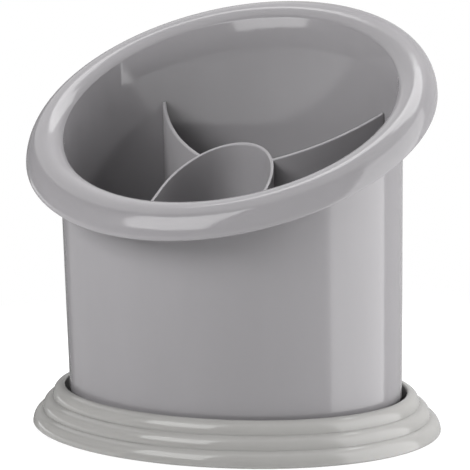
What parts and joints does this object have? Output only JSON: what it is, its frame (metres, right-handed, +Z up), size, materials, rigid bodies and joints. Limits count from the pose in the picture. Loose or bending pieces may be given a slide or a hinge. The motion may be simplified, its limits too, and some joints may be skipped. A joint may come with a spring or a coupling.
{
  "type": "cutlery drainer",
  "caption": "Oval cutlery drainer: a cup with a tilted, turned-down rim and a perforated floor, a lift-out divider, and a stepped drip tray.",
  "frame": {"origin": "centre of the drip tray's flat underside, on the surface that the drainer stands on", "axes": "+Z up; +X along the oval's long axis; +Y towards the high side of the tilted rim"},
  "size_m": [0.1858, 0.1458, 0.1781],
  "materials": {
    "tray_plastic": "glossy moulded plastic, warm light grey",
    "cup_plastic": "glossy moulded plastic, mid grey",
    "divider_plastic": "satin moulded plastic, mid grey"
  },
  "bodies": {
    "tray": {"drip_tray": "tray_plastic"},
    "cup": {"drainer_cup": "cup_plastic"},
    "divider": {"divider_insert": "divider_plastic"}
  },
  "joints": [
    {"name": "cup_lift", "type": "slide", "parent": "tray", "child": "cup", "axis": [0, 0, 1], "range_m": [0, 0.06]},
    {"name": "divider_lift", "type": "slide", "parent": "cup", "child": "divider", "axis": [0, 0, 1], "range_m": [0, 0.175]}
  ]
}
